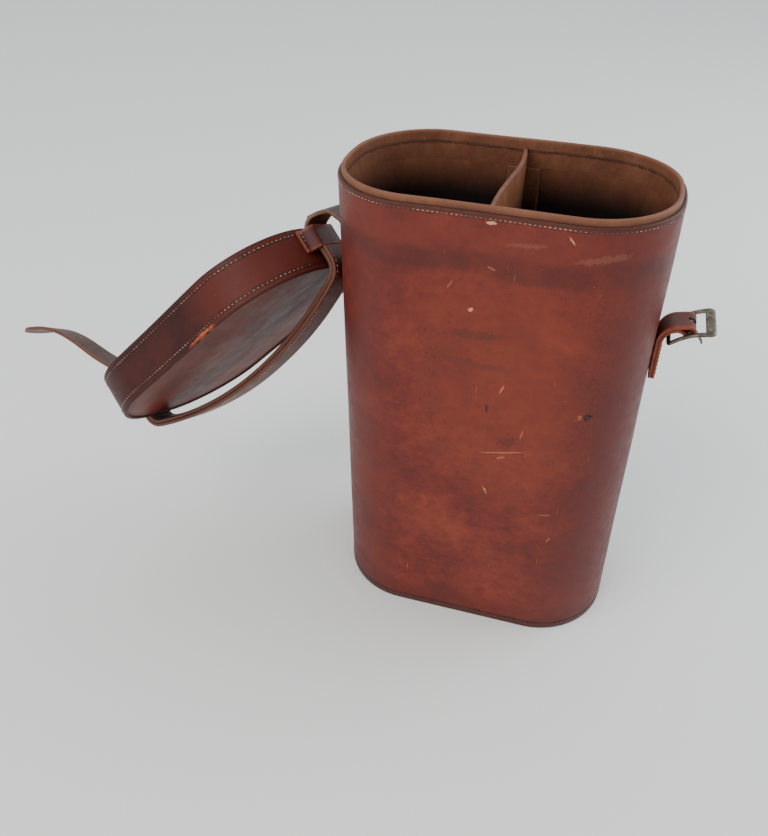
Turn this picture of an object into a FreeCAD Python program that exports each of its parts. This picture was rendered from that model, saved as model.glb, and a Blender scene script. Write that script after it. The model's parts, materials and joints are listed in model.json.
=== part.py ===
import FreeCAD, Part
import math
import os

import Sketcher
from FreeCAD import Placement, Rotation, Vector

# Twin-bottle leather carrying case with a slip-over lid on a strap.
# Frame: millimetres, origin on the resting face under the middle of the case,
# X along the long side (the lid hangs at -X, the buckle is at +X), Y across, Z up.

doc = FreeCAD.newDocument("BottleCase")
sheet = doc.addObject("Spreadsheet::Sheet", "Sheet")

SIZES = [
    # the case: two compartments, each for one 75 to 90 mm bottle
    ("case_length", 200.0),
    ("case_depth", 120.6),
    ("rim_height", 321.2),
    ("corner_radius", 52.3),
    ("end_radius", 136.2),
    ("base_thickness", 4.0),
    ("shell_thickness", 2.6),
    ("lining_thickness", 1.4),
    ("collar_thickness", 1.8),
    ("collar_height", 18.0),
    ("lip_height", 3.5),
    ("floor_thickness", 2.0),
    ("divider_thickness", 2.8),
    ("divider_drop", 5.2),
    ("flange_width", 22.0),
    ("flange_thickness", 1.4),
    ("fit_gap", 0.1),
    # sewing thread, as a raised line along each seam
    ("thread_proud", 0.5),
    ("thread_width", 0.8),
    ("rim_seam_drop", 5.7),
    ("base_seam_rise", 5.0),
    # the lid, a cap that slips over the outside of the case
    ("lid_gap", 1.07),
    ("lid_wall", 3.0),
    ("lid_height", 31.1),
    ("panel_recess", 1.2),
    ("panel_thickness", 2.4),
    ("lid_lining", 0.8),
    ("rim_clearance", 0.7),
    ("lid_seam_inset", 4.0),
    ("seam_end_gap", 1.1),
    # the strap that ties the lid to the case and makes its handle
    ("strap_width", 22.0),
    ("strap_thickness", 2.8),
    ("anchor_length", 30.0),
    ("anchor_taper", 11.0),
    ("slide_gap", 0.3),
    ("fold_gap", 2.0),
    ("slider_length", 6.0),
    ("first_fold_drop", 40.2),
    ("second_fold_rise", 20.5),
    ("second_fold_out", 6.2),
    ("second_fold_shift", 4.0),
    ("third_fold_rise", 20.4),
    ("lid_above_fold", 4.0),
    ("first_fold_angle", 82.0),
    ("second_fold_angle", 85.9),
    ("third_fold_angle", 84.3),
    ("first_fold_slant", 22.8),
    ("second_fold_slant", -26.6),
    ("third_fold_slant", 17.2),
    # leather keepers that hold the strap to both ends of the lid
    ("keeper_rise", 3.0),
    ("keeper_height", 16.0),
    ("keeper_thickness", 2.5),
    ("keeper_slot_depth", 5.85),
    ("keeper_side_gap", 0.4),
    ("keeper_foot", 5.5),
    # the handle: the strap doubled and bowed over the lid
    ("handle_layer", 2.75),
    ("handle_clearance", 4.35),
    ("handle_far_gap", 1.0),
    ("handle_turn_height", 27.9),
    ("handle_turn_radius", 12.0),
    ("handle_rise_angle", 20.0),
    # the billet, the strap's free end
    ("billet_thickness", 2.8),
    ("billet_end_gap", 1.5),
    ("billet_lean", 36.0),
    ("billet_root", 4.0),
    ("billet_lean_radius", 20.0),
    ("billet_first_run", 22.0),
    ("billet_hollow_radius", 110.0),
    ("billet_hollow_turn", 7.0),
    ("billet_middle_run", 14.0),
    ("billet_curl_radius", 120.0),
    ("billet_curl_turn", 9.0),
    ("billet_end_radius", 75.0),
    ("billet_end_turn", 24.0),
    ("billet_end_run", 26.0),
    ("billet_tip", 16.0),
    # the chape, folded round the buckle's bar and sewn to the case
    ("chape_width", 20.4),
    ("chape_thickness", 4.0),
    ("chape_bend_drop", 93.18),
    ("chape_upright", 26.02),
    ("chape_bend_radius", 11.0),
    ("chape_bend_angle", 100.0),
    ("chape_reach", 3.36),
    ("chape_loop_wall", 2.0),
    ("chape_slot_width", 4.6),
    # the buckle: an arched frame, wider at its outer end, with a bar across its
    # middle, and a prong on the bar
    ("buckle_length", 29.6),
    ("buckle_width", 27.0),
    ("buckle_outer_width", 31.0),
    ("buckle_arch", 2.6),
    ("buckle_thickness", 2.4),
    ("buckle_rail", 2.3),
    ("buckle_outer_bar", 5.6),
    ("buckle_inner_bar", 2.8),
    ("buckle_window_taper", 1.0),
    ("buckle_corner", 3.0),
    ("buckle_tilt", 23.4),
    ("bar_diameter", 3.0),
    ("bar_clearance", 0.3),
    ("prong_clearance", 0.2),
    ("prong_wall", 1.2),
    ("prong_width", 3.2),
    ("prong_thickness", 1.7),
    ("prong_length", 14.8),
    ("prong_droop", 49.0),
]

for row, (alias, value) in enumerate(SIZES, start=1):
    sheet.set(f"A{row}", alias)
    sheet.set(f"B{row}", str(value))
    sheet.setAlias(f"B{row}", alias)
doc.recompute()


def size(expression):
    """The value of an expression of the sheet's sizes."""
    value = sheet.evalExpression(expression)
    return float(getattr(value, "Value", value))


# ---- ovals -----------------------------------------------------------------

# Straight long sides, tight corner arcs and a flatter arc across each end, all tangent.
CORNER_Y = "(case_depth / 2 - corner_radius)"
CORNER_X = (
    "(case_length / 2 - end_radius + sqrt((end_radius - corner_radius) ^ 2 - "
    + CORNER_Y
    + " ^ 2))"
)
END_X = "(end_radius - case_length / 2)"


def sheetTerms(expression):
    """The same expression as another object has to write it, with the sheet's name before each size."""
    words = []
    word = ""
    names = {alias for alias, _ in SIZES}
    for letter in expression + " ":
        if letter.isalnum() or letter == "_":
            word += letter
            continue
        words.append("Sheet." + word if word in names else word)
        words.append(letter)
        word = ""
    return "".join(words).strip()


def ovalGeometry(offset):
    """The eight tangent pieces of the oval, moved outward by offset, anticlockwise."""
    corner = size("corner_radius") + offset
    end = size("end_radius") + offset
    cx = size(CORNER_X)
    cy = size(CORNER_Y)
    ex = size(END_X)
    join = math.atan2(cy, cx + ex)
    up = Vector(0, 0, 1)
    half = math.pi / 2

    def arc(x, y, radius, start, stop):
        return Part.ArcOfCircle(Part.Circle(Vector(x, y, 0), up, radius), start, stop)

    side = cy + corner
    return [
        arc(-ex, 0, end, -join, join),
        arc(cx, cy, corner, join, half),
        Part.LineSegment(Vector(cx, side, 0), Vector(-cx, side, 0)),
        arc(-cx, cy, corner, half, math.pi - join),
        arc(ex, 0, end, math.pi - join, math.pi + join),
        arc(-cx, -cy, corner, math.pi + join, 3 * half),
        Part.LineSegment(Vector(-cx, -side, 0), Vector(cx, -side, 0)),
        arc(cx, -cy, corner, -half, -join),
    ]


def addOval(sketch, offset):
    """One oval loop in a sketch, its radii and centres bound to the sheet."""
    first = sketch.GeometryCount
    for piece in ovalGeometry(size(offset)):
        sketch.addGeometry(piece, False)
    for index in range(8):
        here = first + index
        after = first + (index + 1) % 8
        sketch.addConstraint(Sketcher.Constraint("Tangent", here, 2, after, 1))
    corners = [(1, 1, 1), (3, -1, 1), (5, -1, -1), (7, 1, -1)]
    for index, x_side, y_side in corners:
        for kind, side, place in (
            ("DistanceX", x_side, CORNER_X),
            ("DistanceY", y_side, CORNER_Y),
        ):
            points = (-1, 1, first + index, 3) if side > 0 else (first + index, 3, -1, 1)
            number = sketch.addConstraint(Sketcher.Constraint(kind, *points, size(place)))
            sketch.setExpression(f"Constraints[{number}]", sheetTerms(place))
    for index in (1, 3, 5, 7):
        radius = f"corner_radius + ({offset})"
        rule = Sketcher.Constraint("Radius", first + index, size(radius))
        number = sketch.addConstraint(rule)
        sketch.setExpression(f"Constraints[{number}]", sheetTerms(radius))
    for index in (0, 4):
        radius = f"end_radius + ({offset})"
        rule = Sketcher.Constraint("Radius", first + index, size(radius))
        number = sketch.addConstraint(rule)
        sketch.setExpression(f"Constraints[{number}]", sheetTerms(radius))


PARTS = {}


def keep(node, thing, placement=None):
    thing.Label = node
    if placement is not None:
        thing.Placement = placement
    PARTS[node] = thing
    return thing


def plane(body, role):
    return next(item for item in body.Origin.OriginFeatures if item.Role == role)


def ovalBody(node, outer, inner, low, high, placement=None):
    """An oval plate, or an oval band where inner is given, padded from low to high."""
    body = doc.addObject("PartDesign::Body", node)
    sketch = body.newObject("Sketcher::SketchObject", node + "_outline")
    sketch.AttachmentSupport = [(plane(body, "XY_Plane"), "")]
    sketch.MapMode = "FlatFace"
    sketch.setExpression("AttachmentOffset.Base.z", sheetTerms(low))
    addOval(sketch, outer)
    if inner is not None:
        addOval(sketch, inner)
    pad = body.newObject("PartDesign::Pad", node + "_pad")
    pad.Profile = sketch
    pad.setExpression("Length", sheetTerms(f"({high}) - ({low})"))
    return keep(node, body, placement)


# ---- straps ----------------------------------------------------------------


def ribbonFace(start, heading, moves, left, right):
    """A strap's side view in the XZ plane.

    It starts at a point, heading in degrees from +X towards +Z, and goes through moves:
    a length is a straight run, and a pair is an arc's radius and turn, positive to the left.
    left and right are how far the strap reaches each side of this line.
    """
    x, z = start
    angle = math.radians(heading)
    edges = {side: [] for side in (1, -1)}
    reach = {1: left, -1: -right}

    def beside(px, pz, direction, distance):
        return Vector(px - math.sin(direction) * distance, 0, pz + math.cos(direction) * distance)

    first = {side: beside(x, z, angle, reach[side]) for side in reach}
    for move in moves:
        if isinstance(move, tuple):
            radius, turn = move[0], math.radians(move[1])
            sense = 1 if turn > 0 else -1
            cx = x - math.sin(angle) * radius * sense
            cz = z + math.cos(angle) * radius * sense
            middle = angle + turn / 2
            after = angle + turn

            def onArc(direction):
                return (
                    cx + math.sin(direction) * radius * sense,
                    cz - math.cos(direction) * radius * sense,
                )

            for side in reach:
                points = [
                    beside(*onArc(direction), direction, reach[side])
                    for direction in (angle, middle, after)
                ]
                edges[side].append(Part.Arc(*points).toShape())
            x, z = onArc(after)
            angle = after
        else:
            nx = x + math.cos(angle) * move
            nz = z + math.sin(angle) * move
            for side in reach:
                a = beside(x, z, angle, reach[side])
                b = beside(nx, nz, angle, reach[side])
                edges[side].append(Part.makeLine(a, b))
            x, z = nx, nz
    last = {side: beside(x, z, angle, reach[side]) for side in reach}
    loop = edges[1] + [Part.makeLine(last[1], last[-1])]
    loop += edges[-1] + [Part.makeLine(first[1], first[-1])]
    wire = Part.Wire(Part.__sortEdges__(loop))
    return Part.Face(wire), (x, z, math.degrees(angle))


def ribbon(start, heading, moves, left, right, width):
    """A strap of this side view, width wide about the XZ plane, and where its line ends."""
    face, end = ribbonFace(start, heading, moves, left, right)
    face.translate(Vector(0, -width / 2, 0))
    return face.extrude(Vector(0, width, 0)), end


def feature(node, shape, placement=None):
    thing = doc.addObject("Part::Feature", node)
    thing.Shape = shape
    return keep(node, thing, placement)


def slab(outline, depth_low, depth_high):
    """A plate in the YZ plane with this outline of (y, z) points, from x depth_low to depth_high."""
    points = [Vector(depth_low, y, z) for y, z in outline]
    face = Part.Face(Part.makePolygon(points + points[:1]))
    return face.extrude(Vector(depth_high - depth_low, 0, 0))


def box(x, y, z):
    """A block between the two ends given for each axis."""
    corner = Vector(x[0], y[0], z[0])
    return Part.makeBox(x[1] - x[0], y[1] - y[0], z[1] - z[0], corner)


def ovalSolid(offset, low, high):
    wire = Part.Wire([piece.toShape() for piece in ovalGeometry(offset)])
    face = Part.Face(wire)
    face.translate(Vector(0, 0, low))
    return face.extrude(Vector(0, 0, high - low))


# ---- the case --------------------------------------------------------------

LINED = "-shell_thickness - lining_thickness"
ovalBody("base_panel", "0", None, "0", "base_thickness")
ovalBody(
    "case_shell", "0", "-shell_thickness", "base_thickness", "rim_height - lip_height"
)
ovalBody(
    "case_lining", "-shell_thickness", LINED, "base_thickness", "rim_height - collar_height"
)
ovalBody(
    "rim_collar",
    "-shell_thickness",
    "-shell_thickness - collar_thickness",
    "rim_height - collar_height",
    "rim_height",
)
ovalBody(
    "base_lining",
    LINED + " - fit_gap",
    None,
    "base_thickness",
    "base_thickness + floor_thickness",
)
ovalBody(
    "rim_thread",
    "thread_proud",
    "0",
    "rim_height - rim_seam_drop - thread_width",
    "rim_height - rim_seam_drop",
)
ovalBody(
    "base_thread",
    "thread_proud",
    "0",
    "base_thickness + base_seam_rise",
    "base_thickness + base_seam_rise + thread_width",
)

floor = size("base_thickness + floor_thickness")
lined_y = size("case_depth / 2 - shell_thickness - lining_thickness")
flange = size("flange_thickness")
divider = doc.addObject("Part::Box", "divider")
divider.setExpression("Length", sheetTerms("divider_thickness"))
half_inside = "(case_depth / 2 - shell_thickness - lining_thickness - flange_thickness)"
divider.setExpression("Width", sheetTerms(f"2 * {half_inside}"))
divider.setExpression(
    "Height", sheetTerms("rim_height - divider_drop - base_thickness - floor_thickness")
)
divider.setExpression("Placement.Base.x", sheetTerms("-divider_thickness / 2"))
divider.setExpression("Placement.Base.y", sheetTerms(f"-{half_inside}"))
divider.setExpression("Placement.Base.z", sheetTerms("base_thickness + floor_thickness"))
keep("divider", divider)

flange_x = size("flange_width") / 2
flange_top = size("rim_height - collar_height")
flanges = [
    box((-flange_x, flange_x), sorted((side * lined_y, side * (lined_y - flange))), (floor, flange_top))
    for side in (-1, 1)
]
feature("divider_flanges", Part.makeCompound(flanges))

# ---- the strap between the case and the lid ---------------------------------

half_strap = size("strap_width") / 2
thick = size("strap_thickness")
gap = size("fold_gap")
slants = [math.radians(size(f"{which}_fold_slant")) for which in ("first", "second", "third")]
angles = [size(f"{which}_fold_angle") for which in ("first", "second", "third")]

# Where the strap folds, with the lid held level just above the case.
wall_x = size("case_length / 2")
slider_x = size("case_length / 2 + lid_gap + lid_wall + slide_gap + strap_thickness / 2")
first_z = size("rim_height - first_fold_drop")
second_z = first_z + size("second_fold_rise")
third_z = second_z + size("third_fold_rise")
folds = [
    Vector(-wall_x - thick / 2, 0, first_z),
    Vector(-wall_x - thick / 2 - size("second_fold_out"), size("second_fold_shift"), second_z),
    Vector(-slider_x, 0, third_z),
]
lifted_z = third_z + size("lid_above_fold")
seated_z = size(
    "rim_height + rim_clearance - lid_height + panel_recess + panel_thickness + lid_lining"
)


def turned(point, axis, degrees):
    """A turn about an axis through a point."""
    return Placement(Vector(0, 0, 0), Rotation(axis, degrees), point)


# Opening turns each fold back by its whole angle, one after another down the strap.
fold_axes = [Vector(0, math.cos(slant), math.sin(slant)) for slant in slants]
opened = []
stage = Placement()
for point, axis, angle in zip(folds, fold_axes, angles):
    stage = stage.multiply(turned(point, axis, -angle))
    opened.append(stage)
lid_place = opened[2].multiply(Placement(Vector(0, 0, lifted_z), Rotation()))


def foldEdge(y, slant, middle, side):
    """The height of a strap piece's end at y, beside a slanted fold line at height middle."""
    return middle + y * math.tan(slant) + side * gap / math.cos(slant)


anchor_low = first_z - size("anchor_length")
taper = size("anchor_taper")
anchor = slab(
    [
        (-half_strap, anchor_low + taper / 2),
        (-half_strap + taper / 2, anchor_low),
        (half_strap - taper / 2, anchor_low),
        (half_strap, anchor_low + taper / 2),
        (half_strap, foldEdge(half_strap, slants[0], first_z, -1)),
        (-half_strap, foldEdge(-half_strap, slants[0], first_z, -1)),
    ],
    -wall_x - thick,
    -wall_x,
)
feature("strap_anchor", anchor)


def strapPiece(node, start, finish, low_slant, high_slant, placement):
    """A flat piece of strap from one fold line to the next."""
    along = finish.sub(start)
    lean = math.degrees(math.atan2(along.x, along.z))
    tall = math.hypot(along.x, along.z)
    shift = along.y
    outline = [
        (-half_strap, foldEdge(-half_strap, low_slant, 0, 1)),
        (half_strap, foldEdge(half_strap, low_slant, 0, 1)),
        (half_strap + shift, foldEdge(half_strap, high_slant, tall, -1)),
        (-half_strap + shift, foldEdge(-half_strap, high_slant, tall, -1)),
    ]
    shape = slab(outline, -thick / 2, thick / 2)
    there = Placement(start, Rotation(Vector(0, 1, 0), lean))
    feature(node, shape, placement.multiply(there))


strapPiece("strap_lower", folds[0], folds[1], slants[0], slants[1], opened[0])
strapPiece("strap_upper", folds[1], folds[2], slants[1], slants[2], opened[1])

slider = slab(
    [
        (-half_strap, foldEdge(-half_strap, slants[2], 0, 1)),
        (half_strap, foldEdge(half_strap, slants[2], 0, 1)),
        (half_strap, gap + size("slider_length")),
        (-half_strap, gap + size("slider_length")),
    ],
    -thick / 2,
    thick / 2,
)
feature("strap_slider", slider, opened[2].multiply(Placement(folds[2], Rotation())))

# ---- the lid, modelled level with its opening edge at z = 0 -------------------

lid_outside = size("lid_gap + lid_wall")
PANEL_LOW = "lid_height - panel_recess - panel_thickness"
ovalBody("lid_wall", "lid_gap + lid_wall", "lid_gap", "0", "lid_height", lid_place)
ovalBody("lid_top", "lid_gap", None, PANEL_LOW, "lid_height - panel_recess", lid_place)
ovalBody("lid_lining", "lid_gap", None, PANEL_LOW + " - lid_lining", PANEL_LOW, lid_place)

proud = size("thread_proud")
seam = size("thread_width")
far = 2 * wall_x
keeper_low = size("keeper_rise")
keeper_high = keeper_low + size("keeper_height")
keeper_skin = size("keeper_thickness")
end_x = wall_x + lid_outside
slot_y = half_strap + size("keeper_side_gap")
bridge_y = slot_y + keeper_skin
foot_y = bridge_y + size("keeper_foot")
seam_half = foot_y + size("seam_end_gap")
inboard_x = wall_x / 2  # well inside the lid, where a keeper's cutting blocks can start
keeper_z = (keeper_low, keeper_high)

for node, low in (
    ("lid_edge_thread", size("lid_seam_inset")),
    ("lid_top_thread", size("lid_height - lid_seam_inset")),
):
    loop = ovalSolid(lid_outside + proud, low, low + seam).cut(
        ovalSolid(lid_outside, low - seam, low + 2 * seam)
    )
    # the seam stops at each end of the lid, under the strap's keepers
    open_ends = box((-far, far), (-seam_half, seam_half), (low - seam, low + 2 * seam))
    feature(node, loop.cut(open_ends), lid_place)


def keeper(node, side, slot_depth):
    """A band sewn to the lid's wall at both of its ends, bridging the strap."""
    slot_x = end_x + slot_depth

    def end(near, away, y):
        return box(sorted((side * near, side * away)), (-y, y), keeper_z)

    feet = ovalSolid(lid_outside + keeper_skin, *keeper_z).common(end(inboard_x, far, foot_y))
    band = feet.fuse(end(inboard_x, slot_x + keeper_skin, bridge_y))
    band = band.cut(ovalSolid(lid_outside, keeper_low - seam, keeper_high + seam))
    band = band.cut(end(inboard_x, slot_x, slot_y))
    feature(node, band.removeSplitter(), lid_place)


keeper("hinge_keeper", -1, size("keeper_slot_depth"))
keeper("far_keeper", 1, size("handle_far_gap + 2 * handle_layer"))

# ---- the handle and the billet ------------------------------------------------

layer = size("handle_layer")
turn_z = size("handle_turn_height")
turn_radius = size("handle_turn_radius")
rise = size("handle_rise_angle")
near_x = -(end_x + size("handle_clearance") + layer)
far_x = end_x + size("handle_far_gap") + layer
bow_half = (far_x - near_x) / 2 - turn_radius * (1 - math.cos(math.radians(90 - rise)))
bow_radius = bow_half / math.sin(math.radians(rise))
handle_moves = [
    turn_z - keeper_high,
    (turn_radius, rise - 90),
    (bow_radius, -2 * rise),
    (turn_radius, rise - 90),
    turn_z - keeper_low,
]
for node, left, right in (("handle_strap", layer, 0.0), ("handle_backing", 0.0, layer)):
    shape, handle_end = ribbon(
        (near_x, keeper_high), 90, handle_moves, left, right, size("strap_width")
    )
    feature(node, shape, lid_place)

# The billet leans out from the lid's far end and curls away towards its tip.
half_billet = size("billet_thickness") / 2
billet_start = (far_x, keeper_low - size("billet_end_gap"))
billet_moves = [
    size("billet_root"),
    (size("billet_lean_radius"), size("billet_lean")),
    size("billet_first_run"),
    (size("billet_hollow_radius"), -size("billet_hollow_turn")),
    size("billet_middle_run"),
    (size("billet_curl_radius"), size("billet_curl_turn")),
    (size("billet_end_radius"), size("billet_end_turn")),
    size("billet_end_run"),
]
shape, billet_end = ribbon(
    billet_start, -90, billet_moves, half_billet, half_billet, size("strap_width")
)
tip_length = size("billet_tip")
overcut = size("billet_end_gap")  # how far the cutters for the point reach past the strap
along = Vector(
    math.cos(math.radians(billet_end[2])), 0, math.sin(math.radians(billet_end[2]))
)
across = Vector(-along.z, 0, along.x)
tip = Vector(billet_end[0], 0, billet_end[1])
for side in (-1, 1):
    corner = tip + Vector(0, side * (half_strap + overcut), 0)
    back = corner - along * tip_length
    point = tip + along * overcut
    beyond = corner + along * overcut
    wedge = Part.Face(Part.makePolygon([beyond, back, point, beyond]))
    wedge.translate(across * -half_strap)
    shape = shape.cut(wedge.extrude(across * 2 * half_strap))
feature("billet", shape, lid_place)

# ---- the chape and the buckle -------------------------------------------------

half_chape = size("chape_thickness") / 2
bend = size("chape_bend_radius")
upright = size("chape_upright")
foot_z = size("rim_height - chape_bend_drop") - upright
chape_moves = [upright, (bend, -size("chape_bend_angle")), size("chape_reach")]
chape, bar_place = ribbon(
    (wall_x + half_chape, foot_z), 90, chape_moves, half_chape, half_chape, size("chape_width")
)
bar = Vector(bar_place[0], 0, bar_place[1])
bar_radius = size("bar_diameter") / 2
hole = bar_radius + size("bar_clearance")
half_width = size("chape_width") / 2
across_y = Vector(0, 1, 0)


def rod(radius, half_length):
    """A round bar along Y, centred on the buckle's pivot."""
    start = bar - across_y * half_length
    return Part.makeCylinder(radius, 2 * half_length, start, across_y)


def tilted(shape, degrees):
    """A shape drawn about the origin, its +X raised by this angle, moved to the pivot."""
    shape.rotate(Vector(0, 0, 0), across_y, -degrees)
    shape.translate(bar)
    return shape


slot_half = size("chape_slot_width") / 2
loop = hole + size("chape_loop_wall")
slot = tilted(
    box((-loop, 2 * loop), (-slot_half, slot_half), (-2 * loop, 2 * loop)), bar_place[2]
)
chape = chape.fuse(rod(loop, half_width)).cut(rod(hole, half_width + loop)).cut(slot)
feature("buckle_chape", chape.removeSplitter())

buckle_x = size("buckle_length") / 2
buckle_y = size("buckle_width") / 2
outer_y = size("buckle_outer_width") / 2
buckle_z = size("buckle_thickness") / 2
window_y = buckle_y - size("buckle_rail")
arch = size("buckle_arch")
arch_radius = (buckle_x**2 + arch**2) / (2 * arch)


def plan(ends):
    """A prism over a symmetrical outline, given as (x, half its width there)."""
    right = [Vector(x, y, -buckle_x) for x, y in ends]
    left = [Vector(x, -y, -buckle_x) for x, y in reversed(ends)]
    outline = Part.makePolygon(right + left + right[:1])
    return Part.Face(outline).extrude(Vector(0, 0, 2 * buckle_x))


def archLayer(radius):
    """All that lies within this radius of the frame's arch's middle line."""
    below = Vector(0, -2 * outer_y, -arch_radius)
    return Part.makeCylinder(radius, 4 * outer_y, below, across_y)


outer = plan([(-buckle_x, buckle_y), (0, buckle_y), (buckle_x, outer_y)])
corners = [
    edge
    for edge in outer.Edges
    if abs(edge.tangentAt(0).z) > 0.9 and abs(edge.Vertexes[0].X) > buckle_x / 2
]
outer = outer.makeFillet(size("buckle_corner"), corners)
window = plan(
    [
        (-buckle_x + size("buckle_inner_bar"), window_y),
        (bar_radius, window_y),
        (buckle_x - size("buckle_outer_bar"), window_y - size("buckle_window_taper")),
    ]
)
layer = archLayer(arch_radius + buckle_z).cut(archLayer(arch_radius - buckle_z))
feature("buckle_frame", tilted(outer.cut(window).common(layer), size("buckle_tilt")))
feature("buckle_bar", rod(bar_radius, window_y))

prong_half = size("prong_width") / 2
prong_hole = bar_radius + size("prong_clearance")
prong_outer = prong_hole + size("prong_wall")
flat = size("prong_thickness") / 2
tongue = tilted(
    box((prong_hole, size("prong_length")), (-prong_half, prong_half), (-flat, flat)),
    -size("prong_droop"),
)
prong = rod(prong_outer, prong_half).fuse(tongue).cut(rod(prong_hole, 2 * prong_half))
feature("buckle_prong", prong.removeSplitter())

# ---- check and write ------------------------------------------------------------

doc.recompute()
for thing in doc.Objects:
    if "Invalid" in thing.State or "Error" in thing.State:
        raise RuntimeError(f"{thing.Label} did not recompute: {thing.State}")
for node, thing in PARTS.items():
    if thing.Shape.isNull() or not thing.Shape.isValid() or thing.Shape.Volume <= 0:
        raise RuntimeError(f"{node} has no valid shape")

os.makedirs("parts", exist_ok=True)
for node, thing in PARTS.items():
    thing.Shape.exportStep(f"parts/{node}.step")


def say(name, vector):
    print(f"{name}: {vector.x:.4f} {vector.y:.4f} {vector.z:.4f}")


for which, point, axis, before in zip(
    ("first", "second", "third"), folds, fold_axes, [Placement()] + opened
):
    say(f"{which} fold at", before.multVec(point))
    say(f"{which} fold axis", before.Rotation.multVec(axis))
say("lid seats along", lid_place.Rotation.multVec(Vector(0, 0, -1)))
print(f"lid travel: {lifted_z - seated_z:.3f}")
say("lid origin", lid_place.Base)
say("billet hinge", lid_place.multVec(Vector(far_x, 0, keeper_low)))
say("billet axis", lid_place.Rotation.multVec(Vector(0, 1, 0)))
say("buckle pivot", bar)
print(f"{len(PARTS)} pieces")
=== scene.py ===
import json
import math
import random
from functools import partial

import bmesh
import bpy
from mathutils import Matrix, Vector, noise


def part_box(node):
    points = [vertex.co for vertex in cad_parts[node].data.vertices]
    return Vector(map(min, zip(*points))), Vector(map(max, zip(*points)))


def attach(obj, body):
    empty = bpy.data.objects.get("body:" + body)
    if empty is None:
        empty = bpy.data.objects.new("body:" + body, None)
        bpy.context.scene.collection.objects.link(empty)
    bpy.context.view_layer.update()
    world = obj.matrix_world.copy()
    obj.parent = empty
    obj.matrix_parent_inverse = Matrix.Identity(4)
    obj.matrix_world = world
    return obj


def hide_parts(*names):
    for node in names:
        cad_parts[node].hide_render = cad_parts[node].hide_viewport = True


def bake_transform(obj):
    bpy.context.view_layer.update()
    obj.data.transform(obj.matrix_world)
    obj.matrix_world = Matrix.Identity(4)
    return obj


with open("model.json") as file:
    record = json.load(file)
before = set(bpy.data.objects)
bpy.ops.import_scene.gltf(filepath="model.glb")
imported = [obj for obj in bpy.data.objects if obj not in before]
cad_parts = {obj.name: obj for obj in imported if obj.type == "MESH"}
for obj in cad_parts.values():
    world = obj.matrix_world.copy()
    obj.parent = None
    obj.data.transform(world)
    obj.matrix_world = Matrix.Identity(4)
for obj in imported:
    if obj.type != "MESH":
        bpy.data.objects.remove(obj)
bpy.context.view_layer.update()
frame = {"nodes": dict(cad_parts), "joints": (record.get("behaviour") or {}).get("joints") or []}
joints = {joint["name"]: joint for joint in frame["joints"]}
random.seed(11)
noise.seed_set(11)  # otherwise the walls' unevenness goes by the clock
mm = 0.001
perMm = 1 / mm


# ---- small tools: colours, nodes, lofts, paths, stitches

def hexColour(code):
    # sRGB hex to the linear colour that a shader wants
    parts = [int(code[i:i + 2], 16) / 255 for i in (0, 2, 4)]
    linear = [c / 12.92 if c <= 0.04045 else ((c + 0.055) / 1.055) ** 2.4 for c in parts]
    return (*linear, 1.0)


def fillIn(tree, node, inputs):
    # a socket is linked, anything else is set
    for key, value in inputs.items():
        if isinstance(value, bpy.types.NodeSocket):
            tree.links.new(value, node.inputs[key])
        else:
            node.inputs[key].default_value = value


def addNode(tree, kind, inputs, out=0, stops=(), **settings):
    # one node with its settings, links and ramp stops; gives back the output asked for
    node = tree.nodes.new("ShaderNode" + kind)
    for key, value in settings.items():
        setattr(node, key, value)
    fillIn(tree, node, inputs)
    if stops:
        row = node.color_ramp.elements
        for position, code in stops:
            row.new(position).color = hexColour(code)
        row.remove(row[0])
        row.remove(row[-1])
    return node.outputs[out]


smooth = dict(interpolation_type="SMOOTHSTEP")
product = dict(operation="MULTIPLY")
asColour = dict(out=2, data_type="RGBA")


def newMaterial(name, **constants):
    # the material, a way to add its nodes and a way to fill in its shader
    material = bpy.data.materials.new(name)
    material.use_nodes = True
    tree = material.node_tree
    shader = tree.nodes["Principled BSDF"]
    fillIn(tree, shader, {key.replace("_", " "): value for key, value in constants.items()})
    return material, partial(addNode, tree), partial(fillIn, tree, shader)


def eased(share):
    share = min(1.0, max(0.0, share))
    return share * share * (3 - 2 * share)


def place(bm, vert, layers, spot):
    co, wear, flat = spot
    vert.co = co * mm
    vert[layers[0]] = wear
    vert[layers[1]] = Vector(flat) * mm


def loft(count, levels, spotAt, closed=False):
    # a ring of count vertices, extruded through the levels; spotAt gives place, wear and flat place in mm
    bm = bmesh.new()
    layers = (bm.verts.layers.float.new("wear"), bm.verts.layers.float_vector.new("flat"))
    ring = bmesh.ops.create_circle(bm, segments=count, radius=1.0)["verts"]
    edges = list(bm.edges)
    firstEdges = list(edges)
    order = {vert: index for index, vert in enumerate(ring)}
    for vert, index in order.items():
        place(bm, vert, layers, spotAt(index, levels[0]))
    for level in levels[1:]:
        made = bmesh.ops.extrude_edge_only(bm, edges=edges)["geom"]
        edges = [item for item in made if isinstance(item, bmesh.types.BMEdge)]
        fresh = {}
        for vert in (item for item in made if isinstance(item, bmesh.types.BMVert)):
            for edge in vert.link_edges:
                other = edge.other_vert(vert)
                if other in order:
                    fresh[vert] = order[other]
        edges = [edge for edge in edges if edge.verts[0] in fresh and edge.verts[1] in fresh]
        order = fresh
        for vert, index in order.items():
            place(bm, vert, layers, spotAt(index, level))
    if closed:
        bmesh.ops.remove_doubles(bm, verts=bm.verts, dist=1e-6)
    else:
        bmesh.ops.contextual_create(bm, geom=firstEdges)
        bmesh.ops.contextual_create(bm, geom=edges)
    return bm


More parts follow.
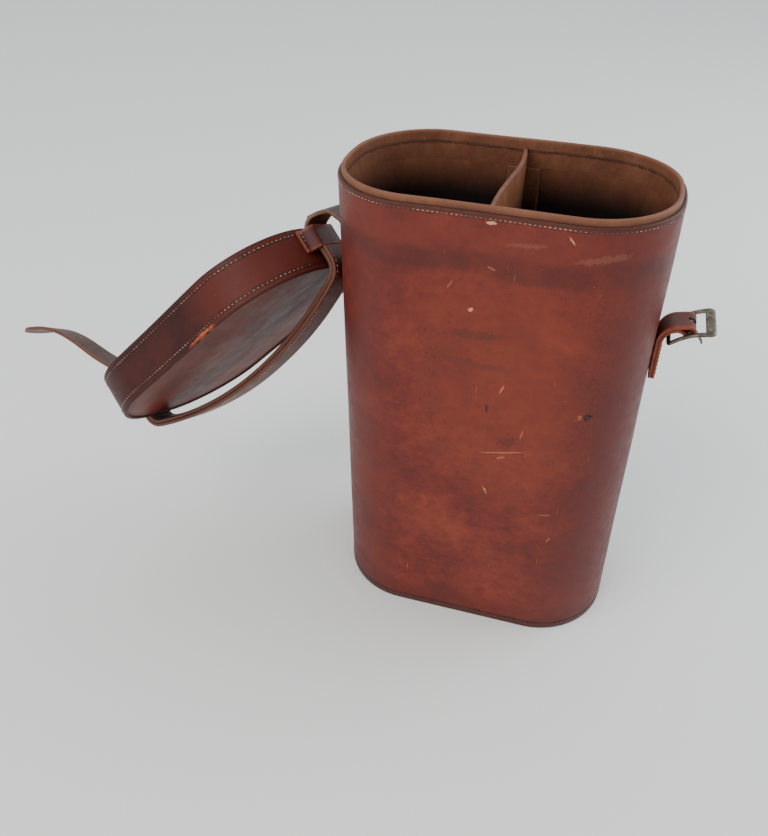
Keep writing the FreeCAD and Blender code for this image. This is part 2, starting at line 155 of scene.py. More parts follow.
def makePiece(bm, name, finish, body=None, stands=(), sharp=38):
    bmesh.ops.recalc_face_normals(bm, faces=bm.faces)
    mesh = bpy.data.meshes.new(name)
    bm.to_mesh(mesh)
    bm.free()
    mesh.shade_smooth()
    mesh.set_sharp_from_angle(angle=math.radians(sharp))
    piece = bpy.data.objects.new(name, mesh)
    bpy.context.scene.collection.objects.link(piece)
    mesh.materials.append(finish)
    if body:
        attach(piece, body)
    if stands:
        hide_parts(*stands)
    return piece


def strapSection(width, thick, corner, flats=(0.5, 0.0, -0.5)):
    # the outline of a strap's cut end: across, through, and how worn it is there
    points = []
    reach = width / 2 - corner
    inset = min(1.5, reach / 3)
    for index, (sideX, sideY) in enumerate(((1, 1), (-1, 1), (-1, -1), (1, -1))):
        for step in range(4):
            angle = math.radians(90 * index + 30 * step)
            a = sideX * reach + corner * math.cos(angle)
            b = sideY * (thick / 2 - corner) + corner * math.sin(angle)
            points.append((a, b, 1.0))
        if index in (0, 2):
            row = [reach - inset] + [reach * share for share in flats] + [inset - reach]
            row = row if index == 0 else [-a for a in row]
            points.extend((a, sideY * thick / 2, 0.0) for a in row)
    return points


def measured(spots):
    # the distance along the way, added to each (centre, across, normal)
    path = []
    distance = 0.0
    for index, (centre, across, normal) in enumerate(spots):
        distance += (centre - spots[index - 1][0]).length if index else 0.0
        path.append((centre, across, normal.normalized(), distance))
    return path


def layerPath(path, reach):
    return [(centre + normal * reach, across, normal, distance) for centre, across, normal, distance in path]


def sweep(path, section, scaleAt=None):
    # path: (centre, across, normal, distance) at each step; section from strapSection
    def spotAt(index, step):
        centre, across, normal, distance = path[step]
        a, b, wear = section[index]
        wide, deep = scaleAt(step) if scaleAt else (1.0, 1.0)
        co = centre + across * a * wide + normal * b * deep
        ends = min(step, len(path) - 1 - step)
        return co, (1.0 if ends == 0 else wear), (a, distance, math.copysign(20, b))

    return loft(len(section), list(range(len(path))), spotAt)


def domedEnds(path, section):
    # the same sweep with its two ends rounded over
    reach = 0.32
    first, last = path[0], path[-1]
    ahead = (path[1][0] - first[0]).normalized()
    behind = (path[-2][0] - last[0]).normalized()
    start, stop = (first[0] + ahead * reach, *first[1:]), (last[0] + behind * reach, *last[1:])
    full = [first, start, *path[1:-1], stop, last]
    last = len(full) - 1
    return sweep(full, section, lambda step: (0.955, 0.6) if step in (0, last) else (1.0, 1.0))


def stitchRow(bm, spots, length, width, proud):
    # spots: (place, along, outward); one small lens of thread each, a little uneven
    for spot, along, outward in spots:
        side = outward.cross(along).normalized()
        tilt = random.uniform(-0.12, 0.12)
        along = (along.normalized() + side * tilt).normalized()
        side = outward.cross(along).normalized()
        grown = random.uniform(0.85, 1.1)
        turn = Matrix((along * length / 2 * grown, side * width / 2, outward.normalized() * proud)).transposed()
        matrix = Matrix.Translation(spot * mm) @ (turn * mm).to_4x4()
        bmesh.ops.create_uvsphere(bm, u_segments=6, v_segments=4, radius=1.0, matrix=matrix)


# ---- the finishes

def leather(name, look, **constants):
    # vegetable-tanned leather, waxed and handled: uneven dye, soft sheen, fine creases, burnished edges
    material, add, fill = newMaterial(name, **constants)
    if look.get("strap"):
        coords = add("Attribute", {}, "Vector", attribute_name="flat")
    else:
        coords = add("TexCoord", {}, "Object")
    if look.get("frame"):
        coords = add("Mapping", {"Vector": coords, **look["frame"]}, vector_type="TEXTURE")
    streak = add("Mapping", {"Vector": coords, "Scale": look.get("stretch", (1, 1, 1))})
    broad, small, fine = [
        add("TexNoise", {"Vector": streak, "Scale": share * perMm / look["patch"], "Detail": detail,
                         "Roughness": rough, "Distortion": bend})
        for share, detail, rough, bend in ((1, 5, 0.6, 0.5), (5, 5, 0.65, 0.3), (13, 4, 0.7, 0.4))]
    blend = add("Mix", {0: 0.45, 2: broad, 3: small})
    blend = add("Mix", {0: 0.18, 2: blend, 3: fine})
    colour = add("ValToRGB", {0: blend}, stops=look["dye"])
    if look.get("flesh"):
        stain = add("TexNoise", {"Vector": coords, "Scale": perMm / 3, "Detail": 6, "Roughness": 0.7})
        dark, pale = [hexColour(code) for code in look["flesh"]]
        flesh = add("Mix", {0: stain, 6: dark, 7: pale}, **asColour)
        side = add("SeparateXYZ", {0: coords}, 2)
        side = add("MapRange", {0: side, 1: -0.002, 2: 0.002}, **smooth)
        colour = add("Mix", {0: side, 6: flesh, 7: colour}, **asColour)
    for mark in look.get("marks", ()):
        colour = mark(add, coords, colour)
    worn = add("Attribute", {}, "Fac", attribute_name="wear")
    rub = add("TexNoise", {"Vector": coords, "Scale": perMm / 6, "Detail": 4, "Roughness": 0.6})
    rub = add("MapRange", {0: rub, 1: 0.32, 2: 0.62, 3: look.get("edgeLeast", 0.35)}, **smooth)
    rubbed = add("Math", {0: worn, 1: rub}, **product)
    colour = add("Mix", {0: rubbed, 6: colour, 7: hexColour(look["edge"])}, **asColour)
    # fine scratches in two directions, drawn at 1 mm, coarser than real so that they show
    patchy = add("TexNoise", {"Vector": coords, "Scale": perMm / 17, "Detail": 3, "Roughness": 0.6})
    patchy = add("MapRange", {0: patchy, 1: 0.5, 2: 0.7}, **smooth)
    hairs = []
    for scale, turn, pitch, least in (((1, 1, 0.06), (0.3, 0.5, 0.2), 1.3, 0.70),
                                      ((0.07, 1, 1), (0.1, 0.4, -0.3), 1.1, 0.71)):
        along = add("Mapping", {"Vector": coords, "Scale": scale, "Rotation": turn})
        hair = add("TexNoise", {"Vector": along, "Scale": perMm / pitch, "Detail": 2, "Roughness": 0.5})
        hair = add("MapRange", {0: hair, 1: least, 2: least + 0.08}, **smooth)
        hairs.append(add("Math", {0: hair, 1: patchy}, **product))
    hair = add("Math", {0: hairs[0], 1: hairs[1]}, operation="MAXIMUM")
    scratched = add("Math", {0: hair, 1: look["scratch"]}, **product)
    colour = add("Mix", {0: scratched, 6: colour, 7: hexColour(look["light"])}, **asColour)
    low, high = look["rough"]
    rough = add("MapRange", {0: small, 1: 0.3, 2: 0.7, 3: low, 4: high}, **smooth)
    # grain pores about 1 mm apart and slow ripples of the hide
    pores = add("TexVoronoi", {"Vector": coords, "Scale": perMm / look["grain"]}, "Distance")
    ripple = add("TexNoise", {"Vector": coords, "Scale": perMm / 9, "Detail": 3, "Roughness": 0.5})
    height = add("Mix", {0: 0.55, 2: pores, 3: ripple})
    cut = add("Math", {0: hair, 1: -0.25}, **product)
    height = add("Math", {0: height, 1: cut}, operation="ADD")
    bump = add("Bump", {"Height": height, "Strength": look["bump"], "Distance": 0.4 * mm})
    fill({"Base Color": colour, "Roughness": rough, "Normal": bump})
    return material


def spotMark(where, size, code, strength, turn=(0, 0, 0), ragged=0.3, tear=3.0, full=0.5):
    # one torn-edged mark at a place, with its three sizes in mm, turned by degrees about each axis
    def mark(add, coords, colour):
        torn = add("TexNoise", {"Vector": coords, "Scale": perMm / tear, "Detail": 3, "Roughness": 0.6})
        shift = add("VectorMath", {0: torn, 1: (0.5, 0.5, 0.5)}, operation="SUBTRACT")
        reach = ragged * min(size[0], size[2]) * 4 * mm
        shift = add("VectorMath", {0: shift, 3: reach}, operation="SCALE")
        moved = add("VectorMath", {0: coords, 1: shift}, operation="ADD")
        inputs = {"Vector": moved, "Location": Vector(where) * mm, "Scale": Vector(size) / 2 * mm,
                  "Rotation": [math.radians(angle) for angle in turn]}
        local = add("Mapping", inputs, vector_type="TEXTURE")
        ball = add("TexGradient", {0: local}, 1, gradient_type="SPHERICAL")
        factor = add("MapRange", {0: ball, 1: 0.05, 2: full, 4: strength}, **smooth)
        return add("Mix", {0: factor, 6: colour, 7: hexColour(code)}, **asColour)

    return mark


def bandMark(low, high, fade, code, strength, size=25.0, axis=2, floor=0.25):
    # a band between two heights in mm, uneven along its length
    def mark(add, coords, colour):
        wander = add("TexNoise", {"Vector": coords, "Scale": perMm / size, "Detail": 3, "Roughness": 0.5})
        wander = add("MapRange", {0: wander, 1: 0.3, 2: 0.7, 3: -fade * mm / 2, 4: fade * mm / 2}, **smooth)
        height = add("SeparateXYZ", {0: coords}, axis)
        height = add("Math", {0: height, 1: wander}, operation="ADD")
        above = add("MapRange", {0: height, 1: (low - fade) * mm, 2: low * mm}, **smooth)
        below = add("MapRange", {0: height, 1: high * mm, 2: (high + fade) * mm, 3: 1.0, 4: 0.0}, **smooth)
        factor = add("TexNoise", {"Vector": coords, "Scale": 2 * perMm / size, "Detail": 4, "Roughness": 0.6})
        factor = add("MapRange", {0: factor, 1: 0.3, 2: 0.65, 3: floor}, **smooth)
        for part in (above, below, strength):
            factor = add("Math", {0: factor, 1: part}, **product)
        return add("Mix", {0: factor, 6: colour, 7: hexColour(code)}, **asColour)

    return mark


def fadeMark(low, high, code, atLow, atHigh, axis):
    # a tint that goes from one strength to the other, low to high mm away from the middle of an axis
    def mark(add, coords, colour):
        away = add("SeparateXYZ", {0: coords}, axis)
        away = add("Math", {0: away}, operation="ABSOLUTE")
        factor = add("MapRange", {0: away, 1: low * mm, 2: high * mm, 3: atLow, 4: atHigh}, **smooth)
        return add("Mix", {0: factor, 6: colour, 7: hexColour(code)}, **asColour)

    return mark


# ---- the case

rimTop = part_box("rim_collar")[1].z / mm
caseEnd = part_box("case_shell")[1].x / mm
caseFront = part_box("case_shell")[1].y / mm
case = dict(corner=52.3, end=136.2, shell=2.6, lining=1.4, collar=1.8, lip=3.5, collarHeight=18.0, floor=4.0,
            around=208, rise=8.0, seamDrop=6.1, innerSeamDrop=7.0, baseSeam=5.4, stitch=2.65)

cornerY = caseFront - case["corner"]
cornerX = caseEnd - case["end"] + math.sqrt((case["end"] - case["corner"]) ** 2 - cornerY ** 2)
endX = case["end"] - caseEnd
joinAngle = math.atan2(cornerY, cornerX + endX)


def ovalPieces():
    # the oval's tangent pieces from the +X end round to it again: arcs and two straights
    half, join = math.pi / 2, joinAngle
    end, corner = case["end"], case["corner"]
    return [("arc", (-endX, 0), end, 0, join), ("arc", (cornerX, cornerY), corner, join, half),
            ("line", (cornerX, caseFront), (-cornerX, caseFront)),
            ("arc", (-cornerX, cornerY), corner, half, math.pi - join),
            ("arc", (endX, 0), end, math.pi - join, math.pi + join),
            ("arc", (-cornerX, -cornerY), corner, math.pi + join, 3 * half),
            ("line", (-cornerX, -caseFront), (cornerX, -caseFront)),
            ("arc", (cornerX, -cornerY), corner, -half, -join), ("arc", (-endX, 0), end, -join, 0)]


def pieceLength(piece):
    if piece[0] == "arc":
        return piece[2] * (piece[4] - piece[3])
    return (Vector(piece[2]) - Vector(piece[1])).length


outline = ovalPieces()
girth = sum(pieceLength(piece) for piece in outline)


def ovalAt(distance):
    # the point and outward normal at this distance round the oval
    distance %= girth
    for piece in outline:
        long = pieceLength(piece)
        if distance <= long:
            break
        distance -= long
    if piece[0] == "arc":
        angle = piece[3] + (piece[4] - piece[3]) * distance / long
        normal = Vector((math.cos(angle), math.sin(angle), 0))
        return Vector((*piece[1], 0)) + normal * piece[2], normal
    point = Vector((*piece[1], 0)).lerp(Vector((*piece[2], 0)), distance / long)
    return point, Vector((0, math.copysign(1, point.y), 0))


ringSpots = [ovalAt(girth * index / case["around"]) for index in range(case["around"])]


def warpCase(co):
    # slow unevenness of a sewn leather wall, more towards the open mouth
    share = min(1.0, max(0.0, co.z / rimTop))
    push = noise.noise_vector(co / 75.0) * 0.7 * share ** 0.5
    push.z *= 1.1 * share
    return co + push


def warpLid(co):
    return co + noise.noise_vector(co / 60.0 + Vector((5, 3, 1))) * 0.35


def ovalWall(profile, warp, matrix=Matrix()):
    # profile: (offset outwards, height, wear) right round the wall's cut section
    def spotAt(index, level):
        offset, z, wear = level
        point, normal = ringSpots[index]
        co = matrix @ warp(point + normal * offset + Vector((0, 0, z)))
        return co, wear, (girth * index / case["around"], z, 0)

    return loft(case["around"], profile + profile[:1], spotAt, closed=True)


def wallProfile(outer, inner, low, high, radius, rise, wearTop=1.0, wearLow=1.0):
    # up the outside, over a rounded top edge, down the inside and back under
    def rounded(side, height, first, wear):
        angles = [math.radians(first + 30 * step) for step in range(4)]
        return [(side + radius * math.cos(a), height + radius * math.sin(a), wear) for a in angles]

    levels = max(2, round((high - low) / rise))
    inside = max(2, levels // 3)
    profile = rounded(outer - radius, low + radius, -90, wearLow)
    profile += [(outer, low + (high - low) * step / levels, 0.0) for step in range(1, levels)]
    profile.append((outer, high - 2.2 * radius, 0.0))
    profile += rounded(outer - radius, high - radius, 0, wearTop)
    profile += rounded(inner + radius, high - radius, 90, wearTop)
    profile.append((inner, high - 2.2 * radius, 0.0))
    profile += [(inner, low + (high - low) * step / inside, 0.0) for step in range(inside - 1, 0, -1)]
    return profile + [(inner, low, wearLow)]


def ovalSeam(offset, height, pitch, warp, matrix=Matrix(), size=(1.9, 0.75, 0.38), gap=0.0, inside=False):
    # a row of stitches right round, left out within gap mm of the middle of both ends
    spots = []
    count = round(girth / pitch)
    for index in range(count):
        point, normal = ovalAt(girth * (index + 0.5) / count)
        if abs(point.y) < gap:
            continue
        co = matrix @ warp(point + normal * offset + Vector((0, 0, height)))
        along = matrix.to_3x3() @ Vector((-normal.y, normal.x, 0))
        spots.append((co, along, matrix.to_3x3() @ (-normal if inside else normal)))
    bm = bmesh.new()
    stitchRow(bm, spots, *size)
    return bm


# the larger scuffs and stains of the front: x, z, length, height, colour, strength, tilt in degrees, raggedness
scuffs = (
    (2, 313, 7.0, 2.6, "c79a6a", 0.95, 0, 0.2), (69, 197, 8.0, 7.0, "15100e", 1.0, 35, 0.55),
    (64, 197, 5.0, 4.5, "a4553a", 0.8, 70, 0.5), (20, 161, 36.0, 1.5, "a4674c", 0.75, 13, 0.3),
    (20, 157, 7.0, 2.0, "a4674c", 0.6, 20, 0.6), (45, 309, 1.5, 7.0, "c07a58", 0.9, 40, 0.2),
    (16, 209, 1.6, 9.0, "b06445", 0.9, -20, 0.2), (31, 178, 1.4, 9.0, "a85c40", 0.7, -10, 0.2),
    (11, 127, 1.6, 9.0, "b2684a", 0.85, 30, 0.3), (52, 115, 11.0, 1.6, "a05a40", 0.6, 10, 0.3),
    (79, 118, 1.6, 8.0, "a05a40", 0.7, 25, 0.3), (57, 93, 1.6, 7.0, "a05a40", 0.7, -25, 0.3),
    (-19, 274, 1.5, 8.0, "9c5a44", 0.6, -30, 0.3), (-6, 260, 3.0, 3.0, "d09070", 0.8, 0, 0.3),
    (4, 287, 6.0, 1.5, "a86048", 0.6, -25, 0.3), (8, 193, 2.5, 9.0, "2c1612", 0.75, 0, 0.5),
    (22, 170, 14.0, 10.0, "4c2018", 0.55, 0, 0.6), (-2, 244, 44.0, 7.0, "54261d", 0.6, 3, 0.5),
    (-5, 224, 60.0, 6.0, "5a281e", 0.5, -4, 0.5), (64, 212, 20.0, 12.0, "5c2a20", 0.45, 0, 0.6),
    (66, 300, 46.0, 5.0, "8c5744", 0.3, 8, 0.35), (22, 303, 28.0, 3.5, "8a5545", 0.3, 5, 0.35))


def frontMark(x, z, long, high, code, strength, tilt, ragged):
    return spotMark((x, -caseFront, z), (long, 24, high), code, strength, (0, -tilt, 0), ragged, 2.2, 0.45)


rubbedMiddle = frontMark(20, 214, 170.0, 250.0, "7b3320", 0.42, 0, 0.06)
# painted shade: the wall is darker down inside and nearly black lower down, where light doesn't reach
paintedDeepShade = fadeMark(278, 310, "060505", 0.975, 0.0, 2)
bridleLeatherShell = leather("bridleLeatherShell", dict(
    patch=52.0, stretch=(0.9, 1, 1.15), grain=1.5, bump=0.2, rough=(0.44, 0.58), edge="43241a",
    light="a9644a", scratch=0.6, edgeLeast=0.7,
    dye=((0.30, "451614"), (0.42, "5a1e18"), (0.50, "69251b"), (0.58, "762e1f"), (0.70, "883c26")),
    # the fade on x darkens the wall towards both ends: painted shade where the wall turns away
    marks=[rubbedMiddle, fadeMark(34, 97, "501b18", 0.0, 0.68, 0), bandMark(296, 330, 8, "6a2a20", 0.6, 30.0),
           bandMark(286, 293, 6, "4a1d19", 0.7, 40.0), bandMark(-5, 16, 14, "571f18", 0.7, 30.0),
           bandMark(rimTop - 7.0, rimTop - 5.2, 0.8, "452017", 0.8, 8.0),
           bandMark(case["baseSeam"] - 1, case["baseSeam"] + 1, 0.8, "2c1410", 0.9, 8.0),
           *(frontMark(*scuff) for scuff in scuffs)]),
    Coat_Weight=0.04, Coat_Roughness=0.35, Specular_IOR_Level=0.26)
burnishedBase = leather("burnishedBaseLeather", dict(
    patch=30.0, grain=1.6, bump=0.3, rough=(0.5, 0.68), edge="241310", light="8f5a44", scratch=0.6,
    dye=((0.3, "3e1d17"), (0.5, "552a1f"), (0.7, "6b3a2a"))))
calfLining = leather("calfLiningLeather", dict(
    patch=32.0, stretch=(1, 1, 0.6), grain=1.4, bump=0.2, rough=(0.6, 0.75), edge="5f3a24", light="9c6b4a",
    # the lining takes the painted shade down inside the case
    scratch=0.3, dye=((0.3, "5f3726"), (0.5, "744631"), (0.7, "86563d")), marks=[paintedDeepShade]),
    Specular_IOR_Level=0.2)
collarLeather = leather("rolledCollarLeather", dict(
    patch=26.0, stretch=(1, 1, 0.8), grain=1.4, bump=0.22, rough=(0.5, 0.65), edge="7c4f36", light="a98063",
    scratch=0.45, edgeLeast=0.3, dye=((0.3, "5f3726"), (0.5, "744832"), (0.7, "875a42")),
    # the collar takes the same painted shade, with a dark seam line below its top
    marks=[paintedDeepShade, bandMark(rimTop - 7.8, rimTop - 6.4, 0.7, "33190f", 0.6, 10.0, floor=0.4)]),
    Specular_IOR_Level=0.3)


def threadMaterial(name, light, dark):
    # waxed linen thread, hand sewn: matt, its strands darkened with wax and dirt here and there
    material, add, fill = newMaterial(name, Roughness=0.75, Sheen_Weight=0.15)
    coords = add("TexCoord", {}, "Object")
    dirt = add("TexNoise", {"Vector": coords, "Scale": perMm / 16, "Detail": 5, "Roughness": 0.65})
    dirt = add("MapRange", {0: dirt, 1: 0.42, 2: 0.60}, **smooth)
    colour = add("Mix", {0: dirt, 6: hexColour(dark), 7: hexColour(light)}, **asColour)
    # a two-ply twist, drawn at 0.6 mm
    twist = add("TexWave", {"Vector": coords, "Scale": 0.16 / (0.6 * mm)}, 1, bands_direction="DIAGONAL")
    bump = add("Bump", {"Height": twist, "Strength": 0.3, "Distance": 0.1 * mm})
    fill({"Base Color": colour, "Normal": bump})
    return material


creamThread = threadMaterial("waxedLinenThread", "ae937a", "5c3f31")
darkThread = threadMaterial("darkWaxedThread", "4a2c20", "24130e")

shellTop = rimTop - case["lip"]
lined = -case["shell"] - case["lining"]
collarLow = rimTop - case["collarHeight"]
shellProfile = wallProfile(0.0, -case["shell"], 0.0, shellTop, 0.9, case["rise"])
liningProfile = wallProfile(-case["shell"], lined, case["floor"], collarLow, 0.3, 20.0, 0.3, 0.0)
collarProfile = wallProfile(-case["shell"] + 0.5, -case["shell"] - case["collar"] - 0.25, collarLow, rimTop, 1.1,
                            2.5, 0.35, 0.0)
# pared thin towards its lower edge, so that it lies flush on the lining
collarProfile = [(max(offset, lined - 0.12 - 0.55 * min(1.0, (z - collarLow) / 9.0)), z, wear)
                 for offset, z, wear in collarProfile]
for profile, name, finish, node, slotName in (
        (shellProfile, "caseShell", bridleLeatherShell, "case_shell", "shell_leather"),
        (liningProfile, "caseLining", calfLining, "case_lining", "lining_leather"),
        (collarProfile, "rimCollar", collarLeather, "rim_collar", "lining_leather")):
    makePiece(ovalWall(profile, warpCase), name, finish, "case", [node])
rimSeam = ovalSeam(0.08, rimTop - case["seamDrop"], case["stitch"], warpCase, size=(1.7, 0.6, 0.3))
makePiece(rimSeam, "rimStitches", creamThread, "case", ["rim_thread"])
innerSeam = ovalSeam(-case["shell"] - case["collar"] - 0.3, rimTop - case["innerSeamDrop"], case["stitch"],
                     warpCase, inside=True)
makePiece(innerSeam, "rimStitchesInside", darkThread, "case", ())
baseSeam = ovalSeam(0.1, case["baseSeam"], 3.0, warpCase)
makePiece(baseSeam, "baseStitches", darkThread, "case", ["base_thread"])


def ovalPlate(rings, high, low, offset, lift, warp=Vector, matrix=Matrix()):
    # a plate over the oval: shrinking rings on top, a plain edge, and shrinking rings underneath
    profile = [(0.0, low, 1), (0.5, low, 1), (1.0, low, 1)]
    profile += [(share, high, 0) for share in [1.0] + [1 - (step + 1) / rings for step in range(rings)]]

    def spotAt(index, level):
        share, z, under = level
        point, normal = ringSpots[index]
        flat = (point + normal * offset) * max(share, 0.0)
        co = flat + Vector((0, 0, z if under else z + lift(flat, share)))
        return matrix @ warp(co), (0.6 if share == 1.0 else 0.0), tuple(flat)

    return loft(case["around"], profile, spotAt, closed=True)


makePiece(ovalPlate(4, case["floor"], 0.4, -case["shell"] - 0.1, lambda flat, share: 0.0),
          "basePanel", burnishedBase, "case", ["base_panel"])


# ---- the divider and its sewn leaves

divider = dict(thick=2.8, drop=5.2, sway=3.2, leafWidth=22.0, leafThick=1.4)
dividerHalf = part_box("divider")[1].y / mm
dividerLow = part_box("divider")[0].z / mm
dividerTop = rimTop - divider["drop"]


def dividerSway(y, z):
    # the loose upper edge has taken an S from the bottles
    s = (dividerHalf - y) / (2 * dividerHalf)
    rise = max(0.0, (z - 120) / (dividerTop - 120)) ** 1.5
    return divider["sway"] * math.sin(1.8 * math.pi * s) * math.exp(-1.1 * s) * rise

dividerHeights = [dividerLow + (dividerTop - dividerLow - 1.2) * step / 30 for step in range(31)]
dividerHeights += [dividerTop - 0.7, dividerTop - 0.2, dividerTop]
dividerSection = strapSection(2 * dividerHalf - 0.6, divider["thick"], 1.0,
                              [1 - 2 * (step + 1) / 25 for step in range(24)])


def dividerSpot(index, level):
    a, b, wear = dividerSection[index]
    fromTop = len(dividerHeights) - 1 - level
    slim, edge = ((0.35, 0.75, 0.95)[fromTop], 1.0) if fromTop < 3 else (1.0, 0.0)
    z = dividerHeights[level]
    ripple = 0.5 * noise.noise(Vector((a / 20, 0, 3))) * (z / dividerTop) ** 6
    co = Vector((b * slim + dividerSway(a, z), a, z + ripple))
    return co, max(edge, wear * 0.3), (a, z, math.copysign(20, b))


dividerLeather = leather("dividerCalfLeather", dict(
    patch=30.0, stretch=(1, 1, 0.6), grain=1.4, bump=0.2, rough=(0.5, 0.68), edge="6a4330", light="a9785a",
    scratch=0.4, edgeLeast=0.5, dye=((0.3, "643b27"), (0.5, "7c4c31"), (0.7, "8f5b3b")),
    # painted shade: the divider is darker down inside and nearly black lower down
    marks=[fadeMark(272, 308, "060505", 0.96, 0.0, 2)]), Specular_IOR_Level=0.25)
makePiece(loft(len(dividerSection), list(range(len(dividerHeights))), dividerSpot), "divider", dividerLeather,
          "case", ["divider"])

leafBm = bmesh.new()
leafStitch = bmesh.new()
leafSection = strapSection(divider["leafWidth"], divider["leafThick"], 0.5, (0.0,))
leafSeam = divider["leafWidth"] / 2 - 3
leafPitch = 3.4
up = Vector((0, 0, 1))
for side in (-1, 1):
    wall = side * (caseFront + lined - 0.4)
    facing = Vector((0, -side, 0))
    path = [(warpCase(Vector((0, wall - side * divider["leafThick"] / 2, z))), Vector((1, 0, 0)), facing, z)
            for z in [dividerLow + (collarLow - dividerLow) * step / 14 for step in range(15)]]
    leaf = domedEnds(path, leafSection)
    mesh = bpy.data.meshes.new("leaf")
    leaf.to_mesh(mesh)
    leaf.free()
    leafBm.from_mesh(mesh)
    bpy.data.meshes.remove(mesh)
    for edge in (-1, 1):
        spots = [(warpCase(Vector((edge * leafSeam, wall - side * divider["leafThick"],
                                   dividerLow + 4 + leafPitch * step))), up, facing)
                 for step in range(round((collarLow - dividerLow - 8) / leafPitch))]
        stitchRow(leafStitch, spots, 2.3, 0.8, 0.35)
makePiece(leafBm, "dividerLeaves", dividerLeather, "case", ["divider_flanges"])
makePiece(leafStitch, "dividerStitches", darkThread, "case", ())
print("stage: case")

# ---- the lid, drawn level in its own frame and laid where it hangs

lid = dict(gap=1.07, wall=3.0, height=31.1, recess=1.2, panel=2.4, stitch=3.0, seamInset=4.4, keeperHalf=19.4,
           keeperLow=3.0, keeperHigh=19.0, keeperThick=2.5, nearSlot=5.85, farSlot=6.5, farReach=107.82)
keeperGap = 20.2
lidUp = -Vector(joints["lid_slide"]["axis"]).normalized()
lidAcross = Vector(joints["billet_swing"]["axis"]).normalized()
lidAlong = lidAcross.cross(lidUp).normalized()
lidTurn = Matrix((lidAlong, lidAcross, lidUp)).transposed()
farHinge = Vector(joints["billet_swing"]["pos_m"]) / mm
lidOrigin = farHinge - lidAlong * lid["farReach"] - lidUp * lid["keeperLow"]
lidPlace = Matrix.Translation(lidOrigin) @ lidTurn.to_4x4()
lidFrame = {"Location": tuple(lidOrigin * mm), "Rotation": tuple(lidTurn.to_euler("XYZ"))}
outside = lid["gap"] + lid["wall"]
lidSeams = (("lidEdgeStitches", lid["seamInset"], "lid_edge_thread"),
            ("lidTopStitches", lid["height"] - lid["seamInset"], "lid_top_thread"))

bridleLeatherLid = leather("bridleLeatherLid", dict(
    frame=lidFrame, patch=42.0, stretch=(0.8, 1, 1.3), grain=1.5, bump=0.2, rough=(0.46, 0.58), edge="3a1a12",
    light="a2664c", scratch=0.45, edgeLeast=0.55,
    dye=((0.3, "280c0b"), (0.45, "36110e"), (0.58, "451711"), (0.7, "572016")),
    # the first spot is painted shade on the far end, the second is painted light on the near end
    marks=[spotMark((108, -10, 16), (170, 240, 120), "2c100e", 0.6, ragged=0.05),
           spotMark((-78, -40, 16), (130, 130, 120), "5e2418", 0.7, ragged=0.05),
           spotMark((-30, -64, 30), (36, 8, 5), "b2552f", 0.95, ragged=0.25),
           spotMark((84, -50, 30), (12, 10, 4), "9c4a2c", 0.7),
           *(bandMark(height - 1, height + 1, 0.8, "32150f", 0.8, 8.0) for _, height, _ in lidSeams)]),
    Coat_Weight=0.02, Coat_Roughness=0.4, Specular_IOR_Level=0.2)
waxedPanel = leather("waxedPanelLeather", dict(
    frame=lidFrame, patch=50.0, stretch=(0.6, 1, 1), grain=1.7, bump=0.28, rough=(0.42, 0.58), edge="4a2820",
    light="8c675c", scratch=0.4, edgeLeast=0.3,
    dye=((0.32, "3a1f1b"), (0.45, "522923"), (0.55, "643228"), (0.68, "743b2c")),
    marks=[spotMark((78, -14, 29), (50, 60, 20), "6a2c21", 0.7, (0, 0, 20)),
           # the greyish streak along the top is a painted sheen
           spotMark((-50, 2, 29), (100, 30, 30), "5a4645", 0.45, (0, 0, 14), 0.2),
           spotMark((12, -14, 29), (110, 34, 30), "6b3024", 0.5, (0, 0, 10), 0.2)]),
    Coat_Weight=0.03, Coat_Roughness=0.35, Specular_IOR_Level=0.2)

makePiece(ovalWall(wallProfile(outside, lid["gap"], 0.0, lid["height"], 0.9, 2.6), warpLid, lidPlace),
          "lidWall", bridleLeatherLid, "lid", ["lid_wall"])


def panelLift(flat, share):
    # the top has bellied a little and creased along its length
    belly = 0.5 * (1 - share ** 2)
    crease = 0.55 * noise.noise(Vector((flat.x / 60, flat.y / 22, 1.5))) * (1 - share ** 4)
    return belly + crease


panelTop = lid["height"] - lid["recess"]
makePiece(ovalPlate(14, panelTop, panelTop - lid["panel"], lid["gap"] + 0.15, panelLift, warpLid, lidPlace),
          "lidPanel", waxedPanel, "lid", ["lid_top"])
for name, height, node in lidSeams:
    bm = ovalSeam(outside + 0.12, height, lid["stitch"], warpLid, lidPlace, (1.8, 0.66, 0.34), keeperGap)
    makePiece(bm, name, creamThread, "lid", [node])

suede = leather("napSuede", dict(
    frame=lidFrame, patch=24.0, grain=1.1, bump=0.5, rough=(0.85, 0.95), edge="6b472f", light="9c7758",
    scratch=0.2, dye=((0.3, "5c3c28"), (0.5, "704b33"), (0.7, "835b40"))), Sheen_Weight=0.4, Sheen_Roughness=0.5)
print("stage: lid")

# ---- strap leather: a red-brown grain side, a grey-olive flesh side, tan cut edges

